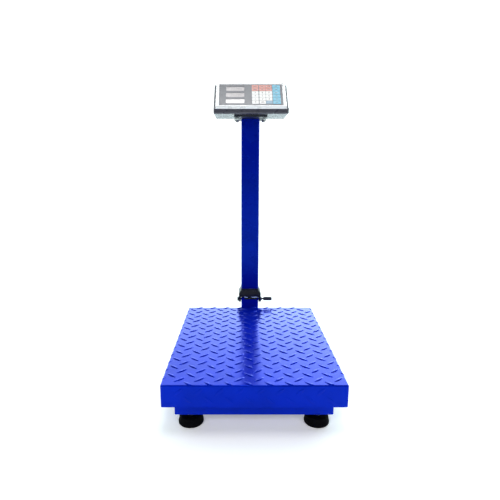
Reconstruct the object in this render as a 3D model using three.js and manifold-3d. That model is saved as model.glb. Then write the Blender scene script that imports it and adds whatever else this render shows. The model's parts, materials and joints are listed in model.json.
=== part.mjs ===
// Folding platform scale: checkered-plate pan on a single-point load cell, a base frame on four
// levelling feet, and a column that folds forward over the pan and carries the price indicator.
// Millimetres, +Z up, +Y to the rear. The origin is on the floor, at the middle of the footprint.
import * as THREE from "three";
import { mergeVertices } from "three/addons/utils/BufferGeometryUtils.js";
import Module from "manifold-3d";

const wasm = await Module();
wasm.setup();

// ---------------------------------------------------------------- driving dimensions
const GAP = 0.3; // between pieces that seat on each other
const QUARTER = Math.PI / 2;
const DEPTH = 576; // pan front to the back of the indicator

const PAN = { width: 400, depth: 500, skirt: 50.5, sheet: 2, top: 106, bend: 3 };
const PAN_FRONT = -DEPTH / 2;
const PAN_REAR = PAN_FRONT + PAN.depth;
const PAN_MID = (PAN_FRONT + PAN_REAR) / 2;

const FRAME = {
  half: 174, front: PAN_FRONT + 20, rear: PAN_REAR - 6, low: 26, high: 66, sheet: 2.5, flange: 24,
};
const RAIL = { width: 60, high: 50, sheet: 3 };

const CELL = { length: 150, width: 38, height: 24, spacer: 4, boltX: [-9, 9] };
const CELL_END = CELL.length / 2 - 20; // bolt pair to the middle of the cell
const CELL_LOW = RAIL.high + GAP + CELL.spacer + GAP;
const CELL_HIGH = CELL_LOW + CELL.height;

const BRIDGE = { low: CELL_HIGH + GAP + CELL.spacer + GAP, height: 16, width: 40, sheet: 2.5, reachX: 168 };
const BRIDGE_HIGH = BRIDGE.low + BRIDGE.height;
const BRIDGE_Y = [PAN_FRONT + 60, PAN_REAR - 60];

const FOOT = { x: 139.5, inset: 16, radius: 28, height: 20, stud: 5, socket: 7 };

const POST = { width: 56, depth: 50, wall: 2.5, corner: 5, y: 253, top: 127 };
const PIVOT = { y: 236, z: 128, rod: 4, bore: 4.5 };
const COLLAR = { low: 138, high: 158, halfX: 36.3, front: 222, rear: 284, cheek: 7, lip: 165 };
const COLUMN_TOP = 701.5;
const HOLE = { m8: 4.3, m6: 3.3 }; // radius of a clearance hole for a bolt of that size
const CABLE_HOLE = 6;
const CABLE_RADIUS = 2.25;
const HINGE_CUT = 132; // the cable is in two lengths that meet in the hinge
const BRACKET = { boltX: [-58, 58], boltZ: 45, cableZ: 34 };

const HEAD = { z: 707.5, half: 108, wall: 2.5, slope: THREE.MathUtils.degToRad(46.5) };
const CASE = { front: -99, lip: 13, rear: 35, top: 93, back: { y: -13, run: 46, rise: 74 } };
const FACE = { length: 108, halfX: 102, height: 7.6, openX: 93, open: [8, 103] };

// ---------------------------------------------------------------- materials
const paint = (color, roughness, metalness) =>
  new THREE.MeshStandardMaterial({ color, roughness, metalness });
const BLUE = paint(0x0b35c4, 0.35, 0.1);
const BLACK_STEEL = paint(0x14141c, 0.45, 0.4);
const ZINC = paint(0xb8bcc2, 0.35, 0.9);
const ALUMINIUM = paint(0xc4c7cb, 0.4, 0.85);
const RUBBER = paint(0x121212, 0.85, 0);
const GRIP = paint(0x17152a, 0.6, 0);
const SHELL = paint(0x35343c, 0.35, 0);
const SILVER = paint(0xd9d6d4, 0.25, 0.6);
const OVERLAY = paint(0x3f3e45, 0.4, 0);
const LCD = paint(0xbab4b8, 0.15, 0);
const BOARD = paint(0x1f6b3a, 0.5, 0);
const BATTERY = paint(0x2a2a2e, 0.6, 0);
const CABLE = paint(0x1b1b1e, 0.6, 0);

// ---------------------------------------------------------------- solids
// A closed geometry as a manifold, so that it can be joined and cut.
function solid(geometry) {
  geometry.deleteAttribute("normal");
  geometry.deleteAttribute("uv");
  const merged = mergeVertices(geometry, 1e-4);
  return new wasm.Manifold(
    new wasm.Mesh({
      numProp: 3,
      vertProperties: new Float32Array(merged.attributes.position.array),
      triVerts: new Uint32Array(merged.index.array),
    }),
  );
}

function geometryOf(manifold) {
  const mesh = manifold.getMesh();
  const geometry = new THREE.BufferGeometry();
  geometry.setAttribute("position", new THREE.BufferAttribute(mesh.vertProperties, 3));
  geometry.setIndex(new THREE.BufferAttribute(mesh.triVerts, 1));
  geometry.computeVertexNormals();
  return geometry;
}

// A copy of a body, turned about X by an angle in radians and then moved.
function moved(body, [x, y, z], angle = 0) {
  return solid(geometryOf(body).rotateX(angle).translate(x, y, z));
}

const join = (...solids) => solids.reduce((a, b) => a.add(b));
const cut = (body, ...tools) => tools.reduce((a, b) => a.subtract(b), body);

function box(x0, x1, y0, y1, z0, z1) {
  const geometry = new THREE.BoxGeometry(x1 - x0, y1 - y0, z1 - z0);
  return solid(geometry.translate((x0 + x1) / 2, (y0 + y1) / 2, (z0 + z1) / 2));
}

function rodZ(x, y, z0, z1, radius, sides = 20) {
  const geometry = new THREE.CylinderGeometry(radius, radius, z1 - z0, sides);
  return solid(geometry.rotateX(Math.PI / 2).translate(x, y, (z0 + z1) / 2));
}

function rodX(x0, x1, y, z, radius, sides = 20) {
  const geometry = new THREE.CylinderGeometry(radius, radius, x1 - x0, sides);
  return solid(geometry.rotateZ(Math.PI / 2).translate((x0 + x1) / 2, y, z));
}

function rodY(x, y0, y1, z, radius, sides = 20) {
  const geometry = new THREE.CylinderGeometry(radius, radius, y1 - y0, sides);
  return solid(geometry.translate(x, (y0 + y1) / 2, z));
}

const hexZ = (x, y, z0, z1, acrossFlats) => rodZ(x, y, z0, z1, acrossFlats / Math.sqrt(3), 6);

function roundedRect(width, height, radius) {
  const [w, h, r] = [width / 2, height / 2, radius];
  const shape = new THREE.Shape();
  shape.moveTo(-w + r, -h);
  shape.lineTo(w - r, -h);
  shape.absarc(w - r, -h + r, r, -Math.PI / 2, 0);
  shape.lineTo(w, h - r);
  shape.absarc(w - r, h - r, r, 0, Math.PI / 2);
  shape.lineTo(-w + r, h);
  shape.absarc(-w + r, h - r, r, Math.PI / 2, Math.PI);
  shape.lineTo(-w, -h + r);
  shape.absarc(-w + r, -h + r, r, Math.PI, 1.5 * Math.PI);
  return shape;
}

const polygon = (points) => new THREE.Shape(points.map(([x, y]) => new THREE.Vector2(x, y)));

// A section drawn in x and y about (x, y), drawn out from z0 to z1.
function prismZ(shape, z0, z1, x = 0, y = 0) {
  const options = { depth: z1 - z0, bevelEnabled: false, curveSegments: 3 };
  return solid(new THREE.ExtrudeGeometry(shape, options).translate(x, y, z0));
}

// A section drawn in y and z, drawn out along X from x0 to x1; round softens both ends.
function prismX(shape, x0, x1, round = 0, segments = 4) {
  const options = {
    depth: x1 - x0 - 2 * round,
    bevelEnabled: round > 0,
    bevelThickness: round,
    bevelSize: round,
    bevelOffset: -round,
    bevelSegments: 2,
    curveSegments: segments,
  };
  const geometry = new THREE.ExtrudeGeometry(shape, options).translate(0, 0, x0 + round);
  const axes = new THREE.Matrix4().makeBasis(
    new THREE.Vector3(0, 1, 0),
    new THREE.Vector3(0, 0, 1),
    new THREE.Vector3(1, 0, 0),
  );
  return solid(geometry.applyMatrix4(axes));
}

// A body of revolution about Z from [radius, height] points that start and end on the axis.
function turned(points, sides) {
  const profile = points.map(([r, z]) => new THREE.Vector2(r, z));
  return solid(new THREE.LatheGeometry(profile, sides).rotateX(Math.PI / 2));
}

function place(parent, name, body, material, position = [0, 0, 0], rotation = [0, 0, 0]) {
  const mesh = new THREE.Mesh(geometryOf(body), material);
  mesh.name = name;
  mesh.position.set(...position);
  mesh.rotation.set(...rotation);
  parent.add(mesh);
}

const CORNERS = [
  ["front_left", -1, 0],
  ["front_right", 1, 0],
  ["rear_left", -1, 1],
  ["rear_right", 1, 1],
];

// ---------------------------------------------------------------- base frame
const FOOT_Y = [FRAME.front + FOOT.inset, FRAME.rear - FOOT.inset];

// An upside-down channel that runs across the frame.
function crossRail(y, high) {
  const [half, inner] = [FRAME.half - 1, RAIL.width / 2 - RAIL.sheet];
  const outside = box(-half, half, y - RAIL.width / 2, y + RAIL.width / 2, FRAME.low + 0.5, high);
  const inside = box(-half - 2, half + 2, y - inner, y + inner, FRAME.low - 1, high - RAIL.sheet);
  return cut(outside, inside);
}

// A corner plate with a welded nut that the levelling stud screws through.
function footPlate(x, y) {
  const inward = -Math.sign(x);
  const xs = [x - inward * 34, x + inward * 24].sort((a, b) => a - b);
  const ys = y < 0 ? [FRAME.front + 1, y + 26] : [y - 26, FRAME.rear - 1];
  const plate = box(...xs, ...ys, FRAME.low, FRAME.low + 4);
  return cut(
    join(plate, hexZ(x, y, FRAME.low + 3.5, FRAME.low + 12, 17)),
    rodZ(x, y, FRAME.low - 1, FRAME.low + 13, FOOT.stud + 0.3),
  );
}

function baseFrame() {
  const { half, front, rear, low, high, sheet, flange } = FRAME;
  const ring = cut(
    prismZ(roundedRect(2 * half, rear - front, 4), low, high, 0, (front + rear) / 2),
    box(-half + flange, half - flange, front + flange, rear - flange, low - 1, high + 1),
    box(-half + sheet, half - sheet, front + sheet, rear - sheet, low + sheet, high - sheet),
  );
  const nutHoles = CORNERS.map(([, side, row]) =>
    rodZ(side * FOOT.x, FOOT_Y[row], low - 1, low + 13, FOOT.stud + 0.3),
  );
  const boltHoles = BRACKET.boltX.map((x) => rodY(x, rear - 8, rear + 1, BRACKET.boltZ, HOLE.m8));
  const cableHole = rodY(0, rear - 8, rear + 1, BRACKET.cableZ, CABLE_HOLE);
  const cellHoles = CELL.boltX.map((x) => rodZ(x, PAN_MID + CELL_END, low - 1, RAIL.high + 1, HOLE.m8));
  const plates = CORNERS.map(([, side, row]) => footPlate(side * FOOT.x, FOOT_Y[row]));
  const rails = [crossRail(PAN_MID + CELL_END, RAIL.high), crossRail(PAN_MID - CELL_END, RAIL.high - 6)];
  return cut(join(ring, ...rails, ...plates), ...nutHoles, ...boltHoles, ...cellHoles, cableHole);
}

// ---------------------------------------------------------------- levelling feet
function footPad() {
  const { radius, height, socket } = FOOT;
  const floor = height - socket;
  const dish = [[0, 1.2], [12, 1.2], [13, 0]];
  const side = [[radius - 1, 0], [radius, 1], [radius, 7], [radius - 1, height - 2], [radius - 3, height]];
  const well = [[9.4, height], [9.4, floor], [0, floor]];
  return turned([...dish, ...side, ...well], 24);
}

function footStud() {
  const { stud, height, socket } = FOOT;
  const seat = height - socket + GAP;
  const end = FRAME.low + 25;
  const collar = [[0, seat], [9, seat], [9, seat + 5], [stud, seat + 5.5]];
  return turned([...collar, [stud, end - 1], [stud - 1, end], [0, end]], 20);
}

const footNut = () => cut(hexZ(0, 0, 20.4, 25.7, 17), rodZ(0, 0, 20, 26, FOOT.stud + 0.3));

// ---------------------------------------------------------------- load cell and pan
function loadCell() {
  const { length, width } = CELL;
  const [mid, half] = [PAN_MID, length / 2];
  const height = (CELL_LOW + CELL_HIGH) / 2;
  const bar = box(-width / 2, width / 2, mid - half, mid + half, CELL_LOW, CELL_HIGH);
  const eyes = [-15, 15].map((y) => rodX(-width, width, mid + y, height, 8, 16));
  const slot = box(-width, width, mid - 15, mid + 15, height - 3, height + 3);
  const bolts = [-1, 1].flatMap((end) =>
    CELL.boltX.map((x) => rodZ(x, mid + end * CELL_END, CELL_LOW - 1, CELL_HIGH + 1, HOLE.m8)),
  );
  return cut(bar, ...eyes, slot, ...bolts);
}

function cellSpacer(y, low) {
  const plate = box(-19, 19, y - 20, y + 20, low, low + CELL.spacer);
  return cut(plate, ...CELL.boltX.map((x) => rodZ(x, y, low - 1, low + CELL.spacer + 1, HOLE.m8)));
}

// A hexagon bolt along Z, its head at the given height, its shank going up or down.
function bolt(headZ, endZ, shank = 4, headHeight = 5) {
  const way = Math.sign(endZ - headZ);
  const heads = [headZ, headZ + way * headHeight].sort((a, b) => a - b);
  const shanks = [headZ + way * headHeight * 0.8, endZ].sort((a, b) => a - b);
  return join(hexZ(0, 0, ...heads, shank * 3.2), rodZ(0, 0, ...shanks, shank, 16));
}

function channelUp(x0, x1, y0, y1) {
  const { low, sheet } = BRIDGE;
  const alongX = x1 - x0 > y1 - y0;
  const hollow = alongX
    ? box(x0 - 1, x1 + 1, y0 + sheet, y1 - sheet, low - 1, BRIDGE_HIGH - sheet)
    : box(x0 + sheet, x1 - sheet, y0 - 1, y1 + 1, low - 1, BRIDGE_HIGH - sheet);
  return { outside: box(x0, x1, y0, y1, low, BRIDGE_HIGH), hollow };
}

// Two cross arms and a spine, folded channels open below, with a seat over the load cell.
function loadBridge() {
  const { reachX, width, low, sheet } = BRIDGE;
  const arms = BRIDGE_Y.map((y) => channelUp(-reachX, reachX, y - width / 2, y + width / 2));
  const spine = channelUp(-32, 32, BRIDGE_Y[0] + width / 2 - sheet, BRIDGE_Y[1] - width / 2 + sheet);
  const members = [...arms, spine];
  const seatY = PAN_MID - CELL_END;
  const seat = box(-30, 30, seatY - 24, seatY + 24, low, low + 6);
  const holes = CELL.boltX.map((x) => rodZ(x, seatY, low - 1, BRIDGE_HIGH + 1, HOLE.m8));
  const access = CELL.boltX.map((x) => rodZ(x, seatY, low + 6, BRIDGE_HIGH + 1, 9));
  const shell = cut(join(...members.map((m) => m.outside)), ...members.map((m) => m.hollow));
  return cut(join(shell, seat), ...holes, ...access);
}

const panBuffer = () =>
  turned([[0, 0], [11, 0], [12, 1], [12, 2.6], [10.5, 3.4], [0, 3.4]], 24);

function platformPan() {
  const { width, depth, skirt, sheet, top, bend } = PAN;
  const options = {
    depth: skirt, bevelEnabled: true, bevelThickness: bend, bevelSize: bend,
    bevelOffset: -bend, bevelSegments: 3, curveSegments: 3,
  };
  const outline = roundedRect(width, depth, bend + 1);
  const block = new THREE.ExtrudeGeometry(outline, options).translate(0, PAN_MID, top - skirt - bend);
  const [x, y] = [width / 2 - sheet, depth / 2 - sheet];
  const below = top - skirt;
  return cut(
    solid(block),
    box(-width, width, PAN_MID - depth, PAN_MID + depth, below - 2 * bend, below),
    box(-x, x, PAN_MID - y, PAN_MID + y, below - 1, top - sheet),
  );
}

// ---------------------------------------------------------------- hinge and lock
const tubeSection = (grow) =>
  roundedRect(POST.width + 2 * grow, POST.depth + 2 * grow, Math.max(POST.corner + grow, 1));

// The cheek that straddles an ear: a disc round the pivot that runs up into the collar.
function cheekProfile(radius, top) {
  const { y, z } = PIVOT;
  const shape = new THREE.Shape();
  shape.moveTo(y - radius, top);
  shape.lineTo(y - radius, z);
  shape.absarc(y, z, radius, Math.PI, 1.62 * Math.PI);
  shape.lineTo(y + 34, top - 4);
  shape.lineTo(y + 36, top);
  return shape;
}

function earProfile() {
  const { y, z } = PIVOT;
  const shape = new THREE.Shape();
  shape.moveTo(y, COLLAR.low - GAP);
  shape.absarc(y, z, 8, Math.PI / 2 + 0.1, Math.PI);
  shape.lineTo(y - 8, POST.top - 9);
  shape.lineTo(y + 40, POST.top - 9);
  shape.lineTo(y + 40, COLLAR.low - GAP);
  return shape;
}

// Flange, arm, post and ears, welded into one bracket that bolts to the back of the frame.
function postBracket() {
  const { wall, y, top, width, depth } = POST;
  const flangeY = FRAME.rear + GAP;
  const armLow = FRAME.low + 4;
  const armHigh = PAN.top - PAN.skirt - 3;
  const flange = cut(
    box(-78, 78, flangeY, flangeY + 5, armLow, armHigh),
    ...BRACKET.boltX.map((x) => rodY(x, flangeY - 1, flangeY + 6, BRACKET.boltZ, HOLE.m8)),
  );
  const arm = cut(
    box(-36, 36, flangeY + 4, y + depth / 2 + 8, armLow, armHigh),
    box(-33, 33, flangeY + 8, y + depth / 2 + 5, armLow - 1, armHigh - 3),
  );
  const post = prismZ(tubeSection(0), armHigh - 1, top, 0, y);
  const bore = prismZ(tubeSection(-wall), armLow - 1, top - 3, 0, y);
  const cableHole = rodZ(0, y, top - 5, top + 1, CABLE_HOLE, 16);
  const back = y + depth / 2;
  const gusset = polygon([[back - 1, armHigh + 34], [back - 1, armHigh - 1], [back + 8, armHigh - 1]]);
  const ribs = [-20, 16].map((x) => prismX(gusset, x, x + 4));
  const ears = [
    prismX(earProfile(), -width / 2, -width / 2 + 10),
    prismX(earProfile(), width / 2 - 3, width / 2),
  ];
  const pivotBore = rodX(-50, 50, PIVOT.y, PIVOT.z, PIVOT.bore);
  const cableEntry = rodY(0, flangeY - 1, flangeY + 9, BRACKET.cableZ, CABLE_HOLE);
  const body = cut(join(flange, arm, post), bore, cableHole, cableEntry);
  return cut(join(body, ...ribs, ...ears), pivotBore);
}

// The cast collar: it grips the foot of the column tube and reaches down past the ears.
function hingeCollar() {
  const { low, high, halfX, front, rear, cheek, lip } = COLLAR;
  const [mid, depth] = [(front + rear) / 2, rear - front];
  const skirt = prismZ(roundedRect(2 * halfX, depth, 4), low, high - 11, 0, mid);
  const chamfer = prismX(
    polygon([[front, low + 8], [rear, low + 8], [rear - 3, high], [front + 3, high]]), -halfX, halfX);
  const shoulder = high - 11;
  const brow = [[halfX, shoulder], [halfX - 5, high], [-halfX + 5, high], [-halfX, shoulder]];
  const sides = polygon([[-halfX, low], [halfX, low], ...brow]);
  const taper = moved(prismZ(sides, 0, depth), [0, rear, 0], Math.PI / 2);
  const sleeve = prismZ(tubeSection(1.6), high - 1, lip, 0, POST.y);
  const cheeks = [-halfX, halfX - cheek].map((x) => prismX(cheekProfile(10.5, low + 2), x, x + cheek));
  const pocket = prismZ(tubeSection(GAP), low + 2, lip + 1, 0, POST.y);
  const body = join(skirt, chamfer.intersect(taper), sleeve);
  const tools = [pocket, rodZ(0, POST.y, low - 1, low + 3, CABLE_HOLE, 16)];
  return cut(cut(join(body, ...cheeks), ...tools), rodX(-50, 50, PIVOT.y, PIVOT.z, PIVOT.bore));
}

// The screw that pins the hinge and, tightened, squeezes the cheeks on to the ears.
function lockRod() {
  return join(
    rodX(-41.5, 38.6, 0, 0, PIVOT.rod),
    rodX(38, 66, 0, 0, 2.6, 16),
    rodX(38.4, 40, 0, 0, 6),
  );
}

function lockGrip() {
  const outline = [[0, 45], [4.6, 45], [6, 47], [6, 70.5], [5, 73], [0, 73]];
  const flutes = Array.from({ length: 10 }, (_, i) => {
    const a = (i * Math.PI) / 5;
    return rodZ(6.6 * Math.cos(a), 6.6 * Math.sin(a), 48, 70, 1.1, 6);
  });
  return cut(turned(outline, 20), ...flutes, rodZ(0, 0, 44, 66.3, 2.6 + GAP, 16));
}

// ---------------------------------------------------------------- column
function columnTube() {
  const outside = prismZ(tubeSection(0), COLLAR.low + 2 + GAP, COLUMN_TOP);
  return cut(outside, prismZ(tubeSection(-POST.wall), COLLAR.low, COLUMN_TOP + 1));
}

const PLATE = { halfX: 49.5, front: -76, rear: 34, sheet: 5, boltX: 41, boltY: [-61, 19] };

function mountPlate() {
  const { halfX, front, rear, sheet, boltX, boltY } = PLATE;
  const z0 = COLUMN_TOP + GAP;
  const plate = prismZ(roundedRect(2 * halfX, rear - front, 6), z0, z0 + sheet, 0, (front + rear) / 2);
  const spigot = cut(
    prismZ(tubeSection(-POST.wall - GAP), z0 - 14, z0 + 1),
    prismZ(tubeSection(-POST.wall - 3), z0 - 15, z0 + 2),
  );
  const bolts = boltY.flatMap((y) =>
    [-boltX, boltX].map((x) => rodZ(x, y, z0 - 1, z0 + sheet + 1, HOLE.m6, 12)));
  return cut(join(plate, spigot), rodZ(0, 0, z0 - 1, z0 + sheet + 1, 11), ...bolts);
}

const grommet = () =>
  solid(
    new THREE.LatheGeometry(
      [[3, 0], [10.7, 0], [10.7, 4.5], [3, 4.5], [3, 0]].map(([r, z]) => new THREE.Vector2(r, z)), 20,
    ).rotateX(Math.PI / 2),
  );

// ---------------------------------------------------------------- indicator, about its own origin
// Side profile of the moulded case, in y and z.
function caseProfile() {
  const { front, lip, rear, top, back } = CASE;
  const shape = new THREE.Shape();
  shape.moveTo(front + 5, 0);
  shape.quadraticCurveTo(front, 0, front, 5);
  shape.lineTo(front, lip);
  shape.lineTo(-28, lip + (-28 - front) * Math.tan(HEAD.slope));
  shape.quadraticCurveTo(-22, top + 1, back.y, top);
  shape.lineTo(back.y + back.run, top - back.rise);
  shape.quadraticCurveTo(rear, 14, rear, 8);
  shape.quadraticCurveTo(rear, 0, rear - 6, 0);
  return shape;
}

// The cavity: the same profile moved inwards by the wall on every side.
function cavityProfile() {
  const { front, lip, rear, top, back } = CASE;
  const w = HEAD.wall;
  const rise = back.rise / back.run;
  const under = lip - w / Math.cos(HEAD.slope); // height of the sloped wall's inside at the front face
  const behind = w * Math.hypot(1, rise);
  return polygon([
    [front + w, w],
    [front + w, under + w * Math.tan(HEAD.slope)],
    [front + (top - w - under) / Math.tan(HEAD.slope), top - w],
    [back.y + (w - behind) / rise, top - w],
    [back.y + (back.rise - behind) / rise, top - back.rise],
    [rear - w, 12],
    [rear - w, w],
  ]);
}

const REAR = { slope: Math.atan2(CASE.back.rise, CASE.back.run), halfX: 93, open: [9, 75] };
const REAR_FOOT = [0, CASE.back.y + CASE.back.run, CASE.top - CASE.back.rise]; // where that slope starts

// A block in the tilted frame of the rear display: x, up the back, and out of it.
function rearBlock(x0, x1, u0, u1, n0, n1) {
  return moved(box(x0, x1, -u1, -u0, n0, n1), REAR_FOOT, -REAR.slope);
}

// A block in the tilted frame of the front face: x, up the slope, and out of it.
const faceBlock = (x0, x1, u0, u1, n0, n1) =>
  moved(box(x0, x1, u0, u1, n0, n1), [0, CASE.front, CASE.lip], HEAD.slope);

const SWITCH = {
  y: -78, z: 11, long: 19, high: 13, body: [16, 10], pivot: 0.2, tilt: THREE.MathUtils.degToRad(9),
};
const SOCKET = { y: 8, z: 16 };

function headShell() {
  const { half, wall } = HEAD;
  const body = prismX(caseProfile(), -half, half, 3, 6);
  const hollow = prismX(cavityProfile(), -half + wall, half - wall);
  const mouth = faceBlock(-88, 88, FACE.open[0] + 6, FACE.open[1] - 5, -9, 20);
  const reach = REAR.halfX + GAP;
  const window = rearBlock(-reach, reach, REAR.open[0] - GAP, REAR.open[1] + GAP, -1.6, 9);
  const rearMouth = rearBlock(-80, 80, REAR.open[0] + 5, REAR.open[1] - 5, -9, 1);
  const places = PLATE.boltY.flatMap((y) => [-PLATE.boltX, PLATE.boltX].map((x) => [x, y]));
  const bosses = places.map(([x, y]) => rodZ(x, y, 1, 13, 6, 12));
  const bolts = places.map(([x, y]) => rodZ(x, y, -1, 11, HOLE.m6, 12));
  const { y, z } = SWITCH;
  const [across, up] = [SWITCH.body[0] / 2 + GAP, SWITCH.body[1] / 2 + GAP];
  const switchHole = box(half - 6, half + 1, y - across, y + across, z - up, z + up);
  const socketHole = rodX(-half - 1, -half + 6, SOCKET.y, SOCKET.z, 5.3);
  const rim = cut(cut(body, hollow), mouth, window, rearMouth);
  const cableHole = rodZ(0, 0, -1, wall + 1, 8);
  return cut(join(rim, ...bosses), ...bolts, cableHole, switchHole, socketHole);
}

function bezel() {
  const { length, halfX, height, openX, open } = FACE;
  const upper = [[length - 2, height], [length + 1, height - 3], [length + 1, GAP]];
  const outline = polygon([[-1.4, 1.5], [4.4, height], ...upper, [0, GAP]]);
  const step = box(-openX - 1.5, openX + 1.5, open[0] - 1.5, open[1] + 1.5, height - 1.2, height + 1);
  return cut(prismX(outline, -halfX, halfX, 1), box(-openX, openX, ...open, -1, height + 1), step);
}

const WINDOWS = { x: -46, width: 54, height: 19, rows: [84, 56.25, 28.5] };
const KEYS = {
  left: [3.1, 24.5, 43.7, 63.7], right: [22.5, 42.9, 62.1, 86.3], top: 100.9, pitch: 14.4, rows: 6, gap: 1,
};

// An embossed key: a rectangle with its corners cut, in a column and a row of the keypad.
function embossedKey(column, row, low, high) {
  const [x0, x1] = [KEYS.left[column], KEYS.right[column]];
  const y1 = KEYS.top - row * KEYS.pitch;
  const y0 = y1 - KEYS.pitch + KEYS.gap;
  const c = 1.5;
  const left = [[x0, y1 - c], [x0, y0 + c], [x0 + c, y0]];
  const right = [[x1 - c, y0], [x1, y0 + c], [x1, y1 - c], [x1 - c, y1]];
  return prismZ(polygon([...left, ...right, [x0 + c, y1]]), low, high);
}

function keypadPanel() {
  const [top, low] = [5.2, 3];
  const { open, openX } = FACE;
  const sheet = box(-openX + GAP, openX - GAP, open[0] + GAP, open[1] - GAP, low, top);
  const [w, h] = [WINDOWS.width / 2, WINDOWS.height / 2];
  const windows = WINDOWS.rows.map((u) =>
    box(WINDOWS.x - w, WINDOWS.x + w, u - h, u + h, low - 1, top + 1));
  const keys = KEYS.left.flatMap((_, column) =>
    Array.from({ length: KEYS.rows }, (_, row) => embossedKey(column, row, top - 0.4, top + 0.6)));
  return cut(join(sheet, ...keys), ...windows);
}

const displayModule = (width, height) =>
  join(box(-width / 2 + GAP, width / 2 - GAP, -height / 2 + GAP, height / 2 - GAP, 0, 4),
    box(-width / 2 - 2, width / 2 + 2, -height / 2 - 3, height / 2 + 3, -2.2, 0.1));

function rearPanel() {
  const { halfX, open } = REAR;
  const sheet = box(-halfX, halfX, ...open, -1.3, 0.7);
  const windows = [0, 1, 2].map((i) => box(-56, -4, 14 + 21 * i, 28 + 21 * i, -3, 2));
  return cut(sheet, ...windows);
}

function mainBoard() {
  const sheet = box(-84, 84, 20, 95, -12, -10.4);
  const chips = [[20, 40, 22, 14], [52, 66, 14, 14], [-40, 80, 30, 8]].map(([x, u, w, h]) =>
    box(x - w / 2, x + w / 2, u - h / 2, u + h / 2, -10.6, -8));
  return join(sheet, ...chips);
}

function batteryBlock() {
  const block = box(-50, 50, -46, -4, 3.5, 44);
  const posts = [-36, 36].map((x) => box(x - 3, x + 3, -20, -14, 43, 49));
  return join(block, ...posts);
}

function switchFrame() {
  const { long, high, body } = SWITCH;
  const [across, up] = [body[0] / 2, body[1] / 2];
  const rim = box(GAP, GAP + 2, -long / 2, long / 2, -high / 2, high / 2);
  const housing = box(-9, GAP + 0.1, -across, across, -up, up);
  const wall = 1.3;
  return cut(join(rim, housing), box(-6, 3, wall - across, across - wall, wall - up, up - wall));
}

// The rocker, a shallow V over a hub, tipped to its off side about the pivot along Z.
function rocker() {
  const hub = [[3.4, -1.2], [1.4, -3.6], [-1.4, -3.6], [-3.4, -1.2]];
  const section = polygon([[-5.9, 2.7], [0, 1.6], [5.9, 2.7], [6.1, 0.6], ...hub, [-6.1, 0.6]]);
  const options = { depth: SWITCH.high - 6.2, bevelEnabled: false };
  const outward = new THREE.Matrix4().makeBasis(
    new THREE.Vector3(0, 1, 0), new THREE.Vector3(1, 0, 0), new THREE.Vector3(0, 0, -1));
  const geometry = new THREE.ExtrudeGeometry(section, options).translate(0, 0, -options.depth / 2);
  return solid(geometry.applyMatrix4(outward).rotateZ(-SWITCH.tilt));
}

function chargeSocket() {
  const outline = [[0, -3], [5, -3], [5, 7.8], [2.8, 7.8], [2.8, 0.5], [1, 0.5], [0.7, 6], [0, 6]];
  return join(turned(outline, 20), cut(hexZ(0, 0, 6 + GAP, 7.8, 12), rodZ(0, 0, 5, 9, 4.6)));
}

// ---------------------------------------------------------------- cable
function cable(points, steps) {
  const stations = points.map((p) => new THREE.Vector3(...p));
  const extrudePath = new THREE.CatmullRomCurve3(stations, false, "centripetal");
  const angles = Array.from({ length: 8 }, (_, i) => (i * Math.PI) / 4);
  const ring = polygon(angles.map((a) => [CABLE_RADIUS * Math.cos(a), CABLE_RADIUS * Math.sin(a)]));
  return solid(new THREE.ExtrudeGeometry(ring, { steps, extrudePath, bevelEnabled: false }));
}

// ---------------------------------------------------------------- assembly
const scale = new THREE.Group();
scale.name = "platform_scale";

const base = new THREE.Group();
scale.add(base);
place(base, "base_frame", baseFrame(), BLUE);
place(base, "post_bracket", postBracket(), BLUE);
for (const [name, x] of [["left", BRACKET.boltX[0]], ["right", BRACKET.boltX[1]]]) {
  const head = FRAME.rear + 2 * GAP + 10;
  place(base, `bracket_bolt_${name}`, bolt(0, -16), ZINC, [x, head, BRACKET.boltZ], [-QUARTER, 0, 0]);
}
CORNERS.forEach(([name, side, row]) => {
  const foot = new THREE.Group();
  foot.position.set(side * FOOT.x, FOOT_Y[row], 0);
  place(foot, `foot_pad_${name}`, footPad(), RUBBER);
  place(foot, `foot_stud_${name}`, footStud(), ZINC);
  place(foot, `foot_nut_${name}`, footNut(), ZINC);
  base.add(foot);
});

const rearY = PAN_MID + CELL_END;
const frontY = PAN_MID - CELL_END;
place(base, "load_cell", loadCell(), ALUMINIUM);
place(base, "cell_spacer_lower", cellSpacer(rearY, RAIL.high + GAP), ZINC);
place(base, "cell_spacer_upper", cellSpacer(frontY, CELL_HIGH + GAP), ZINC);
for (const [name, x] of [["left", CELL.boltX[0]], ["right", CELL.boltX[1]]]) {
  place(base, `cell_bolt_lower_${name}`, bolt(41.6, 72), ZINC, [x, rearY, 0]);
  place(base, `cell_bolt_upper_${name}`, bolt(BRIDGE.low + 6 + GAP + 5, 60), ZINC, [x, frontY, 0]);
}
place(base, "load_bridge", loadBridge(), BLACK_STEEL);
CORNERS.forEach(([name, side, row]) =>
  place(base, `pan_buffer_${name}`, panBuffer(), RUBBER, [side * 148, BRIDGE_Y[row], BRIDGE_HIGH + GAP]));
place(base, "platform_pan", platformPan(), BLUE);
const lowerRoute = [
  [0, PAN_MID + 76, 66], [0, PAN_MID + 92, 66], [0, PAN_MID + 112, 50], [0, 150, 36], [0, 190, 33],
  [0, 205, 33], [0, 235, 34], [0, 250, 42], [0, POST.y, 70], [0, POST.y, HINGE_CUT],
];
place(base, "cell_cable_lower", cable(lowerRoute, 40), CABLE);

const lock = new THREE.Group();
lock.position.set(0, PIVOT.y, PIVOT.z);
scale.add(lock);
place(lock, "lock_washer", cut(rodX(36.6, 38.1, 0, 0, 7.5), rodX(36, 39, 0, 0, PIVOT.bore)), ZINC);
place(lock, "lock_rod", lockRod(), BLACK_STEEL);
place(lock, "lock_grip", lockGrip(), GRIP, [0, 0, 0], [0, QUARTER, 0]);

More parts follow.
